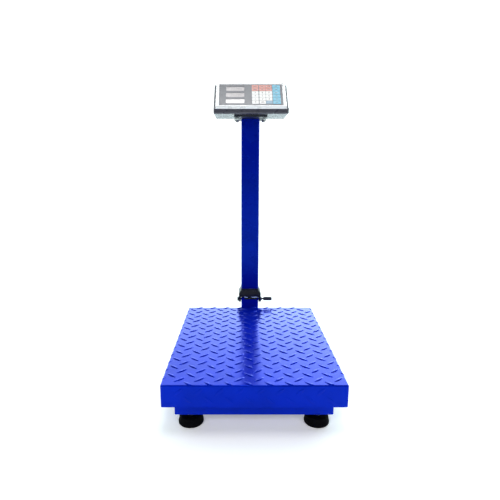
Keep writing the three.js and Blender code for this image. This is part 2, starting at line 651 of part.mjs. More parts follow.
const column = new THREE.Group();
scale.add(column);
place(column, "hinge_collar", hingeCollar(), BLACK_STEEL);
const nut = cut(hexZ(0, 0, 0, 4.6, 13), rodZ(0, 0, -1, 6, PIVOT.bore));
const nutFace = [-COLLAR.halfX - GAP, PIVOT.y, PIVOT.z];
place(column, "lock_nut", nut, BLACK_STEEL, nutFace, [0, -QUARTER, 0]);
const mast = new THREE.Group();
mast.position.set(0, POST.y, 0);
column.add(mast);
place(mast, "column_tube", columnTube(), BLUE);
place(mast, "mount_plate", mountPlate(), BLACK_STEEL);
PLATE.boltY.forEach((y, row) =>
  [-1, 1].forEach((side) =>
    place(mast, `plate_bolt_${row ? "rear" : "front"}_${side < 0 ? "left" : "right"}`,
      bolt(COLUMN_TOP - 5.2, COLUMN_TOP + 16, 3), ZINC, [side * PLATE.boltX, y, 0])));
place(mast, "cable_grommet", grommet(), RUBBER, [0, 0, COLUMN_TOP + 2 * GAP]);
const upperRoute = [[0, 0, HINGE_CUT + 2 * GAP], [0, 0, 300], [0, 0, 500], [0, 0, HEAD.z + 11]];
place(mast, "cell_cable_upper", cable(upperRoute, 12), CABLE);

const head = new THREE.Group();
head.position.set(0, 0, HEAD.z);
mast.add(head);
place(head, "head_shell", headShell(), SHELL);
place(head, "battery", batteryBlock(), BATTERY);
const face = new THREE.Group();
face.position.set(0, CASE.front, CASE.lip);
face.rotation.x = HEAD.slope;
head.add(face);
place(face, "head_bezel", bezel(), SILVER);
place(face, "keypad_panel", keypadPanel(), OVERLAY);
place(face, "main_board", mainBoard(), BOARD);
["weight", "price", "total"].forEach((name, i) => {
  const module = displayModule(WINDOWS.width, WINDOWS.height);
  place(face, `lcd_${name}`, module, LCD, [WINDOWS.x, WINDOWS.rows[i], 0.4]);
});
const back = new THREE.Group();
back.position.set(...REAR_FOOT);
back.rotation.set(REAR.slope, 0, Math.PI, "ZYX");
head.add(back);
place(back, "rear_panel", rearPanel(), OVERLAY);
["total", "price", "weight"].forEach((name, i) =>
  place(back, `rear_lcd_${name}`, displayModule(52, 14), LCD, [-30, 21 + 21 * i, -3.9]));
place(head, "switch_frame", switchFrame(), BLACK_STEEL, [HEAD.half, SWITCH.y, SWITCH.z]);
place(head, "power_rocker", rocker(), RUBBER, [HEAD.half + SWITCH.pivot, SWITCH.y, SWITCH.z]);
const socketPlace = [-HEAD.half + 6, SOCKET.y, SOCKET.z];
place(head, "charge_socket", chargeSocket(), BLACK_STEEL, socketPlace, [0, -QUARTER, 0]);

export default scale;
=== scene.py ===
"""Looks for the folding platform scale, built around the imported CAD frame. Metres, +Z up."""
import json
import math

import bmesh
import bpy
from mathutils import Matrix, Vector

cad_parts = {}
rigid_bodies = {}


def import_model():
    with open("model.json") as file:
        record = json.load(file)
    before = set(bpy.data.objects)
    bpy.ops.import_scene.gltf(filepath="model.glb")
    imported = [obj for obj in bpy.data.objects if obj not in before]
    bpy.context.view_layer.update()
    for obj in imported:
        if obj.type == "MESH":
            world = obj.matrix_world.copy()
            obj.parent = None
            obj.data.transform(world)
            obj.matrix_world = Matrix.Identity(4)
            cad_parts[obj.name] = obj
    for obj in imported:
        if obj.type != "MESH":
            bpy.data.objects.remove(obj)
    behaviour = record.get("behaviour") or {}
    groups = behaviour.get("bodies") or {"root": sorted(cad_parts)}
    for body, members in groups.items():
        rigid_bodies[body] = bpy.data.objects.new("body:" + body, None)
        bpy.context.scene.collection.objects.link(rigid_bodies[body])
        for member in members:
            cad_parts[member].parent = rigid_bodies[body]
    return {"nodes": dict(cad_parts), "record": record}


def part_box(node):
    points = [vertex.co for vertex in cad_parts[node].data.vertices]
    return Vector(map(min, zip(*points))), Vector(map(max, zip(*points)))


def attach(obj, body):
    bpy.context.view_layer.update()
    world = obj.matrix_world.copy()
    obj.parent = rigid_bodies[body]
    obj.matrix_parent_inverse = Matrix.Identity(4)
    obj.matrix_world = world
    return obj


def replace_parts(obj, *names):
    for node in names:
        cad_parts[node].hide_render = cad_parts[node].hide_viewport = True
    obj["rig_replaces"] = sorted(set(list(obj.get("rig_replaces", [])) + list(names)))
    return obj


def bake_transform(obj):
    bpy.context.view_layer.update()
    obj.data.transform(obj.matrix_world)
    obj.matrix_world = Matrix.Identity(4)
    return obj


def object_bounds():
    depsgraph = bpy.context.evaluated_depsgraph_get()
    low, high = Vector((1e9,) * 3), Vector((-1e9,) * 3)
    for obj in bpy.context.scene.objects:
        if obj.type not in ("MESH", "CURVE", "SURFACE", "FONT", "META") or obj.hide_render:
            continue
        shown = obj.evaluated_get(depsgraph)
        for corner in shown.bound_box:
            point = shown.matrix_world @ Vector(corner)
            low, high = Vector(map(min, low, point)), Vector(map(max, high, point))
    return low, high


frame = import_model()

CAD_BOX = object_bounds()
MM = 0.001
RECORD = frame["record"]
SLOT_OF = {s["node"]: s["material_slot"] for s in RECORD["subparts"]}
BODY_OF = {n: body for body, nodes in RECORD["behaviour"]["bodies"].items() for n in nodes}


# ---------------------------------------------------------------- materials
class Look:
    """A principled material whose colour, roughness and bump come from noise in object space."""

    def __init__(self, name, color, roughness, **sockets):
        self.material = bpy.data.materials.new(name)
        self.material.use_nodes = True
        self.tree = self.material.node_tree
        self.surface = self.tree.nodes["Principled BSDF"]
        self.color = color
        self.surface.inputs["Base Color"].default_value = (*color, 1)
        self.surface.inputs["Roughness"].default_value = roughness
        for socket, value in sockets.items():
            self.surface.inputs[socket.replace("_", " ")].default_value = value
        self.place = self.tree.nodes.new("ShaderNodeTexCoord").outputs["Object"]
        self.color_socket = None
        self.height = None

    def add(self, kind, inputs=(), **settings):
        node = self.tree.nodes.new(kind)
        for key, value in settings.items():
            setattr(node, key, value)
        for key, value in dict(inputs).items():
            if isinstance(value, bpy.types.NodeSocket):
                self.tree.links.new(value, node.inputs[key])
            else:
                node.inputs[key].default_value = value
        return node

    def stretched(self, scale):
        return self.add("ShaderNodeMapping", {"Vector": self.place, "Scale": scale}).outputs["Vector"]

    def noise(self, size, detail=3.0, roughness=0.5, stretch=(1, 1, 1)):
        """Noise whose blotches are about size metres across."""
        where = self.stretched(stretch)
        values = {"Vector": where, "Scale": 1 / size, "Detail": detail, "Roughness": roughness}
        return self.add("ShaderNodeTexNoise", values).outputs["Fac"]

    def cells(self, size, stretch=(1, 1, 1)):
        where = self.stretched(stretch)
        return self.add("ShaderNodeTexVoronoi", {"Vector": where, "Scale": 1 / size}).outputs["Distance"]

    def remap(self, value, low, high, to_low=0.0, to_high=1.0):
        values = {"Value": value, "From Min": low, "From Max": high, "To Min": to_low, "To Max": to_high}
        return self.add("ShaderNodeMapRange", values).outputs["Result"]

    def times(self, a, b):
        return self.add("ShaderNodeMath", {0: a, 1: b}, operation="MULTIPLY").outputs[0]

    def edges(self, radius):
        """1 on an outside or inside edge, 0 on the flat: where a rounded normal leaves the true one."""
        rounded = self.add("ShaderNodeBevel", {"Radius": radius}, samples=4).outputs["Normal"]
        true = self.add("ShaderNodeNewGeometry").outputs["Normal"]
        dot = self.add("ShaderNodeVectorMath", {0: rounded, 1: true}, operation="DOT_PRODUCT")
        return self.remap(dot.outputs["Value"], 0.995, 0.9)

    def tint(self, mask, color):
        """Mixes a colour in where the mask is 1."""
        under = self.color_socket if self.color_socket else (*self.color, 1)
        values = {0: mask, 6: under, 7: (*color, 1)}
        mix = self.add("ShaderNodeMix", values, data_type="RGBA")
        self.color_socket = mix.outputs[2]
        self.tree.links.new(self.color_socket, self.surface.inputs["Base Color"])
        return self

    def shine(self, mask, low, high):
        rough = self.remap(mask, 0.3, 0.7, low, high)
        self.tree.links.new(rough, self.surface.inputs["Roughness"])
        return self

    def bump(self, height, depth):
        """Relief of a true depth in metres, added over the relief that is there."""
        values = {"Height": height, "Distance": depth, "Strength": 1.0}
        if self.height:
            values["Normal"] = self.height
        self.height = self.add("ShaderNodeBump", values).outputs["Normal"]
        self.tree.links.new(self.height, self.surface.inputs["Normal"])
        return self


def enamel(name, color, roughness):
    """Sprayed gloss enamel: orange peel, faint cloudiness, thin spots on the edges, dust in the film."""
    look = Look(name, color, roughness, Metallic=0.25, Specular_IOR_Level=0.4)
    look.surface.inputs["Specular Tint"].default_value = (0.08, 0.35, 1.0, 1)
    darker = tuple(c * 0.72 for c in color)
    brighter = tuple(min(1, c * 1.5 + 0.01) for c in color)
    look.tint(look.remap(look.noise(0.06, 4), 0.4, 0.75, 0, 0.7), darker)
    look.tint(look.times(look.edges(0.0012), look.remap(look.noise(0.01), 0.45, 0.6, 0, 0.6)), brighter)
    look.tint(look.remap(look.cells(0.011), 0.05, 0.035, 0, 0.5), darker)
    look.shine(look.noise(0.03, 4), roughness * 0.8, roughness * 1.5)
    look.bump(look.noise(0.0045, 2), 0.00005)
    return look.bump(look.noise(0.05, 2), 0.0001).material


def powder_coat(name, color):
    look = Look(name, color, 0.42, Metallic=0.2)
    look.tint(look.remap(look.noise(0.02, 5), 0.45, 0.7, 0, 0.5), tuple(c * 1.8 + 0.003 for c in color))
    chips = look.times(look.edges(0.0010), look.remap(look.noise(0.004, 4), 0.52, 0.6))
    look.tint(chips, (0.22, 0.23, 0.25))
    look.shine(look.noise(0.015, 4), 0.3, 0.55)
    return look.bump(look.noise(0.0009, 3), 0.00008).material


def plated(name, color, roughness, streak=(1, 1, 1)):
    look = Look(name, color, roughness, Metallic=1.0)
    yellowed = (color[0] * 0.8, color[1] * 0.78, color[2] * 0.68)
    look.tint(look.remap(look.noise(0.008, 5), 0.4, 0.7, 0, 0.6), yellowed)
    look.shine(look.noise(0.003, 4, stretch=streak), roughness * 0.7, roughness * 1.5)
    return look.bump(look.noise(0.0006, 3, stretch=streak), 0.00002).material


def rubber(name):
    look = Look(name, (0.002, 0.002, 0.003), 0.7, Specular_IOR_Level=0.04)
    look.tint(look.remap(look.noise(0.006, 6, 0.7), 0.5, 0.75, 0, 0.5), (0.007, 0.006, 0.006))
    look.tint(look.remap(look.cells(0.0035), 0.12, 0.06, 0, 0.2), (0.02, 0.019, 0.018))
    look.shine(look.noise(0.01, 5), 0.45, 0.8)
    return look.bump(look.noise(0.0012, 4, 0.6), 0.00012).material


def moulded(name, color, roughness, grain=0.0009, depth=0.00005):
    """Moulded plastic with a spark-eroded grain and slightly polished edges."""
    look = Look(name, color, roughness, Specular_IOR_Level=0.45)
    look.tint(look.remap(look.noise(0.04, 4), 0.4, 0.75, 0, 0.5), tuple(c * 0.8 for c in color))
    look.tint(look.times(look.edges(0.0008), look.remap(look.noise(0.006), 0.45, 0.62, 0, 0.5)),
              tuple(min(1, c * 1.25 + 0.03) for c in color))
    look.shine(look.noise(0.012, 4), roughness * 0.85, min(1, roughness * 1.25))
    return look.bump(look.noise(grain, 3), depth).material


def silver_paint(name):
    look = Look(name, (0.88, 0.87, 0.88), 0.28, Metallic=0.15, Coat_Weight=0.4, Coat_Roughness=0.15)
    look.tint(look.remap(look.noise(0.0007, 2), 0.4, 0.7, 0, 0.35), (0.76, 0.75, 0.77))
    worn = look.times(look.edges(0.0004), look.remap(look.noise(0.003), 0.56, 0.64, 0, 0.4))
    look.tint(worn, (0.5, 0.49, 0.5))
    look.shine(look.noise(0.02, 4), 0.22, 0.38)
    return look.bump(look.noise(0.002, 3), 0.00003).material


def printed(name, color, roughness=0.33):
    """Ink under a fine-textured polyester film."""
    look = Look(name, color, roughness, Coat_Weight=0.25, Coat_Roughness=0.3)
    look.tint(look.remap(look.noise(0.012, 5), 0.4, 0.75, 0, 0.5), tuple(c * 0.82 for c in color))
    look.shine(look.noise(0.006, 4), roughness * 0.8, roughness * 1.35)
    return look.bump(look.noise(0.0007, 2), 0.00003).material


def crystal(name):
    """The grey-pink reflector of an unlit liquid crystal display behind its window."""
    look = Look(name, (0.56, 0.51, 0.52), 0.22, Coat_Weight=0.8, Coat_Roughness=0.05)
    look.tint(look.remap(look.noise(0.018, 2), 0.4, 0.7, 0, 0.6), (0.46, 0.42, 0.44))
    look.shine(look.noise(0.02, 2), 0.16, 0.3)
    return look.bump(look.noise(0.0012, 2), 0.00001).material


def solder_mask(name):
    look = Look(name, (0.01, 0.10, 0.035), 0.35, Coat_Weight=0.4)
    look.tint(look.remap(look.cells(0.006, (1, 3, 1)), 0.12, 0.08, 0, 0.8), (0.03, 0.22, 0.08))
    look.shine(look.noise(0.01), 0.25, 0.5)
    return look.bump(look.noise(0.002, 2), 0.00005).material


BLUE = (0.0, 0.011, 0.45)
# The same blue made darker for the column tube: painted shade, for the shade the column stands in.
SHADED_COLUMN_BLUE = (0.0, 0.006, 0.30)
LOOKS = {
    "blue_paint": enamel("blue_enamel", BLUE, 0.15),
    "black_steel": powder_coat("black_powder_coat", (0.005, 0.006, 0.014)),
    "zinc": plated("zinc_plating", (0.62, 0.63, 0.64), 0.3),
    "aluminium": plated("machined_aluminium", (0.75, 0.76, 0.77), 0.28, (1, 12, 1)),
    "rubber": rubber("foot_rubber"),
    "grip_plastic": moulded("grip_plastic", (0.012, 0.011, 0.03), 0.45),
    "case_plastic": moulded("case_plastic", (0.05, 0.047, 0.062), 0.28),
    "bezel_silver": silver_paint("bezel_silver"),
    "overlay": printed("overlay_grey", (0.085, 0.085, 0.105)),
    "display": crystal("display_grey"),
    "circuit_board": solder_mask("solder_mask"),
    "battery_case": moulded("battery_case", (0.02, 0.02, 0.022), 0.5),
    "cable_jacket": moulded("cable_jacket", (0.015, 0.015, 0.016), 0.5),
    "black_plastic": moulded("black_plastic", (0.012, 0.012, 0.013), 0.4),
}
KEY_INKS = {
    "white": printed("ink_white", (0.80, 0.78, 0.77)),
    "salmon": printed("ink_salmon", (0.62, 0.22, 0.18)),
    "cyan": printed("ink_cyan", (0.10, 0.42, 0.60)),
    "slate": printed("ink_slate", (0.20, 0.33, 0.45)),
}
# A darker copy of the blue enamel for the column tube: its darker colour is painted shade.
COLUMN_SHADED_ENAMEL = enamel("column_enamel_painted_shade", SHADED_COLUMN_BLUE, 0.22)
LEGEND = printed("ink_legend", (0.10, 0.07, 0.08))
SEGMENT = printed("segment_grey", (0.34, 0.30, 0.31))


# ---------------------------------------------------------------- meshes
def finish_mesh(mesh, smooth_below):
    """Smooth shading, with every edge sharper than the angle kept crisp."""
    for stale in ("custom_normal", "sharp_face"):
        if stale in mesh.attributes:
            mesh.attributes.remove(mesh.attributes[stale])
    mesh.polygons.foreach_set("use_smooth", [True] * len(mesh.polygons))
    mesh.set_sharp_from_angle(angle=math.radians(smooth_below))
    mesh.update()


def piece(name, mesh, body, slot, material=None, replaces=(), smooth_below=40):
    finish_mesh(mesh, smooth_below)
    mesh.materials.clear()
    mesh.materials.append(material or LOOKS[slot])
    made = bpy.data.objects.new(name, mesh)
    bpy.context.collection.objects.link(made)
    if body:
        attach(made, body)
    if replaces:
        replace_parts(made, *replaces)
    return made


def cleaned(node):
    """A copy of a CAD mesh with shared vertices, and its flat faces whole again."""
    work = bmesh.new()
    work.from_mesh(frame["nodes"][node].data)
    bmesh.ops.remove_doubles(work, verts=work.verts, dist=2e-6)
    bmesh.ops.dissolve_limit(work, angle_limit=math.radians(0.4), verts=work.verts, edges=work.edges)
    mesh = bpy.data.meshes.new(node + "_fine")
    work.to_mesh(mesh)
    work.free()
    return mesh


def flat_faces_stay_flat(made):
    """Shading normals follow the large faces, so that their reflections stay straight."""
    shading = made.modifiers.new("shading", "WEIGHTED_NORMAL")
    shading.keep_sharp = True
    shading.weight = 100


def refined(node, round_edge=0.4 * MM, segments=2, smooth_below=40, material=None):
    """Stands for a CAD node: the same form with its hard edges rounded."""
    slot = SLOT_OF[node]
    made = piece(node + "_fine", cleaned(node), BODY_OF[node], slot, material, [node], smooth_below)
    if round_edge:
        bevel = made.modifiers.new("rounded", "BEVEL")
        bevel.width = round_edge
        bevel.segments = segments
        bevel.limit_method = "ANGLE"
        bevel.angle_limit = math.radians(smooth_below)
    flat_faces_stay_flat(made)
    return made


def mesh_of(name, points, faces):
    mesh = bpy.data.meshes.new(name)
    mesh.from_pydata(points, [], faces)
    mesh.validate()
    return mesh


def merged(name, meshes):
    work = bmesh.new()
    for mesh in meshes:
        work.from_mesh(mesh)
    made = bpy.data.meshes.new(name)
    work.to_mesh(made)
    work.free()
    return made


def lathe(name, profile, sides, centre, radius_at=None):
    """A body of revolution about Z; radius_at(radius, height, angle) may shape its side."""
    points, faces = [], []
    for radius, height in profile:
        for i in range(sides):
            angle = 2 * math.pi * i / sides
            r = radius_at(radius, height, angle) if radius_at else radius
            x, y = r * math.cos(angle), r * math.sin(angle)
            points.append((centre[0] + x, centre[1] + y, centre[2] + height))
    for ring in range(len(profile) - 1):
        for i in range(sides):
            a, b = ring * sides + i, ring * sides + (i + 1) % sides
            faces.append((a, b, b + sides, a + sides))
    faces.append(tuple(reversed(range(sides))))
    faces.append(tuple(range((len(profile) - 1) * sides, len(profile) * sides)))
    return mesh_of(name, points, faces)


def rounded_outline(width, height, radius, x=0.0, y=0.0, steps=6):
    corners = [(1, 1, 0), (-1, 1, 90), (-1, -1, 180), (1, -1, 270)]
    points = []
    for side_x, side_y, start in corners:
        for step in range(steps + 1):
            angle = math.radians(start + 90 * step / steps)
            points.append((
                x + side_x * (width / 2 - radius) + radius * math.cos(angle),
                y + side_y * (height / 2 - radius) + radius * math.sin(angle),
            ))
    return points


def plate(name, outlines, low, high, place, soften=0.0):
    """A flat plate from low to high with the first outline as its edge and the others as holes."""
    curve = bpy.data.curves.new(name, "CURVE")
    curve.dimensions = "2D"
    curve.fill_mode = "BOTH"
    curve.extrude = (high - low) / 2 - soften
    curve.bevel_depth = soften
    curve.offset = -soften
    curve.bevel_resolution = 2
    for outline in outlines:
        spline = curve.splines.new("POLY")
        spline.points.add(len(outline) - 1)
        for point, (x, y) in zip(spline.points, outline):
            point.co = (x, y, 0, 1)
        spline.use_cyclic_u = True
    return baked(curve, name, place @ Matrix.Translation((0, 0, (low + high) / 2)))


def baked(data, name, place):
    """The mesh of a curve or a text, moved to its place."""
    holder = bpy.data.objects.new(name, data)
    bpy.context.collection.objects.link(holder)
    bpy.context.view_layer.update()
    seen = holder.evaluated_get(bpy.context.evaluated_depsgraph_get())
    mesh = bpy.data.meshes.new_from_object(seen)
    bpy.data.objects.remove(holder)
    mesh.transform(place)
    return mesh


def numeral(text, height, x, y, place):
    font = bpy.data.curves.new("numeral", "FONT")
    font.body = text
    font.size = height * 1.4
    font.align_x = "CENTER"
    font.align_y = "CENTER"
    font.extrude = 0.03 * MM
    return baked(font, "numeral", place @ Matrix.Translation((x, y, 0)))


def face_frame(node):
    """Axes of a node's largest face: X to the reader's right, Y up the slope, Z out of it."""
    mesh = frame["nodes"][node].data
    areas = {}
    for face in mesh.polygons:
        key = tuple(round(c, 2) for c in face.normal)
        areas[key] = areas.get(key, 0) + face.area
    outward = [key for key in areas if key[2] > 0.1]
    best = max(outward, key=areas.get)
    normal = Vector(max((f for f in mesh.polygons if tuple(round(c, 2) for c in f.normal) == best),
                        key=lambda f: f.area).normal).normalized()
    right = Vector((0, 0, 1)).cross(normal).normalized()
    up = normal.cross(right)
    turn = Matrix((right, up, normal)).transposed().to_4x4()
    local = [turn.inverted() @ v.co for v in mesh.vertices]
    middle = [(min(p[i] for p in local) + max(p[i] for p in local)) / 2 for i in range(2)]
    top = max(p[2] for p in local)
    size = [max(p[i] for p in local) - min(p[i] for p in local) for i in range(2)]
    return turn @ Matrix.Translation((*middle, top)), size


def in_frame(place, node):
    """Centre of a node's box seen in a face's axes."""
    low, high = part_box(node)
    return place.inverted() @ ((low + high) / 2)


# ---------------------------------------------------------------- stage
FRONT_GLOW, REAR_GLOW, TOP_GLOW = 0.03, 3.6, 0.15
LEFT_SHARE, RIGHT_SHARE = 0.7, 1.3  # of that glow, so that the right of the platform shines more
LOW_SHARE, HIGH_SHARE = 1.45, 0.72  # it is brightest just above the horizon
GLOW_COLOR = (0.79, 1.0, 1.03, 1)
FLOOR_GLOW = 0.3
BACKDROP = 1.3  # the white behind the scale, the same from every side
WHITE = (1, 1, 1, 1)
FLOOR = {"side": 9, "front": 9, "rear": 14}
SOFTBOXES = {
    "key": {"place": (-1.3, -2.2, 1.9), "size": (1.2, 1.2), "power": 24},
    "fill": {"place": (1.5, -2.2, 1.3), "size": (1.0, 1.4), "power": 16},
    "top": {"place": (0, 0.0, 2.4), "size": (0.7, 0.7), "power": 15},
}


def make_floor():
    """White paper that glows a little, so that shadows on it stay soft."""
    side, front, rear = FLOOR["side"], -FLOOR["front"], FLOOR["rear"]
    corners = [(-side, front, 0), (side, front, 0), (side, rear, 0), (-side, rear, 0)]
    mesh = mesh_of("floor", corners, [(0, 1, 2, 3)])
    floor = bpy.data.objects.new("floor", mesh)
    bpy.context.collection.objects.link(floor)
    paper = Look("paper", (0.92, 0.92, 0.92), 0.7, Emission_Strength=FLOOR_GLOW)
    paper.surface.inputs["Emission Color"].default_value = WHITE
    paper.tint(paper.remap(paper.noise(0.5), 0.4, 0.7, 0, 0.3), (0.88, 0.88, 0.885))
    mesh.materials.append(paper.material)


def make_world():
    """Bright behind the scale and dark in front of it, with a plain white backdrop for the camera."""
    world = bpy.data.worlds.new("studio")
    bpy.context.scene.world = world
    world.use_nodes = True
    nodes, link = world.node_tree.nodes, world.node_tree.links.new
    aim = nodes.new("ShaderNodeSeparateXYZ")
    link(nodes.new("ShaderNodeTexCoord").outputs["Generated"], aim.inputs[0])

    def ramp(axis, start, end, low_value, high_value):
        node = nodes.new("ShaderNodeMapRange")
        node.interpolation_type = "SMOOTHSTEP"
        values = {"From Min": start, "From Max": end, "To Min": low_value, "To Max": high_value}
        for key, value in values.items():
            node.inputs[key].default_value = value
        link(aim.outputs[axis], node.inputs["Value"])
        return node.outputs["Result"]

    def combined(operation, a, b):
        node = nodes.new("ShaderNodeMath")
        node.operation = operation
        link(a, node.inputs[0])
        link(b, node.inputs[1])
        return node.outputs[0]

    glow = combined("ADD", ramp("Y", 0.0, 0.75, FRONT_GLOW, REAR_GLOW), ramp("Z", 0.5, 0.95, 0.0, TOP_GLOW))
    glow = combined("MULTIPLY", glow, ramp("X", -0.35, 0.35, LEFT_SHARE, RIGHT_SHARE))
    glow = combined("MULTIPLY", glow, ramp("Z", 0.28, 0.52, LOW_SHARE, HIGH_SHARE))
    surroundings = nodes["Background"]
    surroundings.inputs["Color"].default_value = GLOW_COLOR
    link(glow, surroundings.inputs["Strength"])
    backdrop = nodes.new("ShaderNodeBackground")
    backdrop.inputs["Color"].default_value = WHITE
    backdrop.inputs["Strength"].default_value = BACKDROP
    seen = nodes.new("ShaderNodeMixShader")
    link(nodes.new("ShaderNodeLightPath").outputs["Is Camera Ray"], seen.inputs[0])
    link(surroundings.outputs[0], seen.inputs[1])
    link(backdrop.outputs[0], seen.inputs[2])
    link(seen.outputs[0], nodes["World Output"].inputs["Surface"])


def softbox(name, target, place, size, power):
    light = bpy.data.lights.new(name, "AREA")
    light.shape = "RECTANGLE"
    light.size, light.size_y = size
    light.energy = power
    lamp = bpy.data.objects.new(name, light)
    lamp.location = place
    lamp.rotation_euler = (Vector(target) - Vector(place)).to_track_quat("-Z", "Y").to_euler()
    bpy.context.collection.objects.link(lamp)


def make_stage():
    make_floor()
    make_world()
    pan_low, pan_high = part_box("platform_pan")
    centre_y = (pan_low[1] + pan_high[1]) / 2
    for name, box in SOFTBOXES.items():
        height = 0 if name == "top" else CAD_BOX[1][2] / 2
        softbox(name, (0, centre_y, height), **box)
    bpy.context.scene.view_settings.view_transform = "Standard"


CAMERA = {"lens": 29.74, "shift": 0.01706, "left": 0.02755, "back": 0.7954, "above": 0.4470, "down": 11.146}


def make_camera():
    """A camera in front and a little left of the scale, looking along +Y and down a little."""
    pan_low, pan_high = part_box("platform_pan")
    data = bpy.data.cameras.new("camera")
    data.sensor_width = 36
    data.lens = CAMERA["lens"]
    data.shift_x = CAMERA["shift"]
    camera = bpy.data.objects.new("camera", data)
    camera.location = (-CAMERA["left"], pan_low[1] - CAMERA["back"], pan_high[2] + CAMERA["above"])
    camera.rotation_euler = (math.radians(90 - CAMERA["down"]), 0, 0)
    bpy.context.collection.objects.link(camera)
    bpy.context.scene.camera = camera


# ---------------------------------------------------------------- platform
LUG = {"length": 31 * MM, "width": 7.0 * MM, "height": 1.8 * MM, "tilt": math.radians(41)}
LUG_PITCH = (43 * MM, 39 * MM)
SKIRT_RELIEF = 0.3  # how much of their height the lugs keep on the folded edge
BEND = 3 * MM
LUG_RINGS = [(1.06, -0.4), (1.0, 0.0), (0.86, 0.55), (0.62, 0.88), (0.3, 1.0)]


def lug_points():
    """One lug, lens-shaped, as rings of (x, y, height) about its middle."""
    half, bulge = LUG["length"] / 2, LUG["width"] / 2
    rim = []
    for side in (1, -1):
        for step in range(6):
            t = -1 + 2 * step / 6
            rim.append((side * t * half, side * -bulge * (1 - t * t)))
    return [[(x * k, y * k, h * LUG["height"]) for x, y in rim] for k, h in LUG_RINGS]


def folded(across, height):
    """Where a point of the flat sheet goes past the start of a bend: (distance out, height)."""
    arc = BEND * math.pi / 2
    if across <= 0:
        return across, height
    if across < arc:
        angle = across / BEND
        height *= 1 - (1 - SKIRT_RELIEF) * min(1, 1.3 * across / arc)
        return (BEND + height) * math.sin(angle), (BEND + height) * math.cos(angle) - BEND
    return BEND + SKIRT_RELIEF * height, -BEND - (across - arc)


def make_pan():
    low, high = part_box("platform_pan")
    mid = (low + high) / 2
    mesh = cleaned("platform_pan")
    inset = [1 - 2 * SKIRT_RELIEF * LUG["height"] / (high[i] - low[i]) for i in range(2)]
    for v in mesh.vertices:
        v.co.x = mid.x + (v.co.x - mid.x) * inset[0]
        v.co.y = mid.y + (v.co.y - mid.y) * inset[1]
    flat_faces_stay_flat(piece("pan_sheet", mesh, "platform", "blue_paint", replaces=["platform_pan"]))
    half = [(high[i] - low[i]) / 2 - SKIRT_RELIEF * LUG["height"] for i in range(2)]
    skirt = high[2] - low[2]
    rings = lug_points()
    meshes = []
    reach = [int(half[i] / LUG_PITCH[i]) + 2 for i in range(2)]
    for turned in (1, -1):
        for column in range(-reach[0], reach[0] + 1):
            for row in range(-reach[1], reach[1] + 1):
                x = (column + (0.25 if turned > 0 else 0.75)) * LUG_PITCH[0]
                y = (row + (0.25 if turned > 0 else 0.75)) * LUG_PITCH[1]
                meshes.append(lug_mesh(rings, x, y, turned * LUG["tilt"], half, skirt, high[2], mid))
    meshes = [m for m in meshes if m]
    piece("tread_lugs", merged("tread_lugs", meshes), "platform", "blue_paint", smooth_below=75)


def lug_mesh(rings, x, y, angle, half, skirt, top, mid):
    """A lug on the top, folded down with the sheet where it crosses a bend, or None off the sheet."""
    out = [abs(x) - (half[0] - BEND), abs(y) - (half[1] - BEND)]
    limit = BEND * math.pi / 2 + skirt - BEND - LUG["length"] * 0.42
    if max(out) > limit or min(out) > -LUG["length"] * 0.55:
        return None
    points = []
    for ring in rings:
        for dx, dy, h in ring:
            px = x + dx * math.cos(angle) - dy * math.sin(angle)
            py = y + dx * math.sin(angle) + dy * math.cos(angle)
            fx, drop_x = folded(abs(px) - (half[0] - BEND), h)
            fy, drop_y = folded(abs(py) - (half[1] - BEND), h)
            side_x, side_y = math.copysign(1, px), math.copysign(1, py)
            z = drop_x if fx > 0 else drop_y
            points.append((
                mid.x + side_x * (half[0] - BEND + fx),
                mid.y + side_y * (half[1] - BEND + fy),
                top + (z if max(fx, fy) > 0 else h),
            ))
    count = len(rings[0])
    faces = [
        (r * count + i, r * count + (i + 1) % count, (r + 1) * count + (i + 1) % count, (r + 1) * count + i)
        for r in range(len(rings) - 1)
        for i in range(count)
    ]
    faces.append(tuple(range((len(rings) - 1) * count, len(rings) * count)))
    return mesh_of("lug", points, faces)


def make_load_cell():
    """A copy of the beam; the middles of the spacer under its fixed end and the spacer on its loaded end
    are found at its mid-height.
    """
    made = piece("load_cell_bending", cleaned("load_cell"), None, "aluminium", replaces=["load_cell"])
    low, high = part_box("load_cell")
    ends = []
    for spacer in ("cell_spacer_lower", "cell_spacer_upper"):
        near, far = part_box(spacer)
        ends.append((near + far) / 2)
    for end in ends:
        end.z = (low.z + high.z) / 2
    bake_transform(made)


# ---------------------------------------------------------------- feet
def make_feet():
    for node in [n for n in frame["nodes"] if n.startswith("foot_pad_")]:
        low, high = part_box(node)
        radius, height = (high[0] - low[0]) / 2, high[2] - low[2]
        centre = ((low[0] + high[0]) / 2, (low[1] + high[1]) / 2, low[2])
        profile = [
            (radius * 0.30, 0.3 * MM), (radius * 0.5, 0.05 * MM),
            (radius - 2 * MM, 0.0), (radius - 0.8 * MM, 0.4 * MM),
            (radius, 1.6 * MM), (radius, 5.6 * MM),
            (radius - 0.5 * MM, 6.6 * MM), (radius - 2.2 * MM, height - 4 * MM),
            (radius - 3.0 * MM, height - 1.8 * MM), (radius - 4.6 * MM, height - 0.4 * MM),
            (radius - 6.6 * MM, height),
            (radius * 0.37, height), (radius * 0.355, height - 0.6 * MM), (radius * 0.355, height - 7 * MM),
        ]

        def ribbed(r, z, angle, height=height):
            on_side = 6 * MM < z < height - 3 * MM
            return r - (0.7 * MM if on_side and math.sin(40 * angle) < -0.2 else 0)

        mesh = lathe(node, profile, 240, centre, ribbed)
        piece(node + "_ribbed", mesh, BODY_OF[node], "rubber", replaces=[node], smooth_below=50)


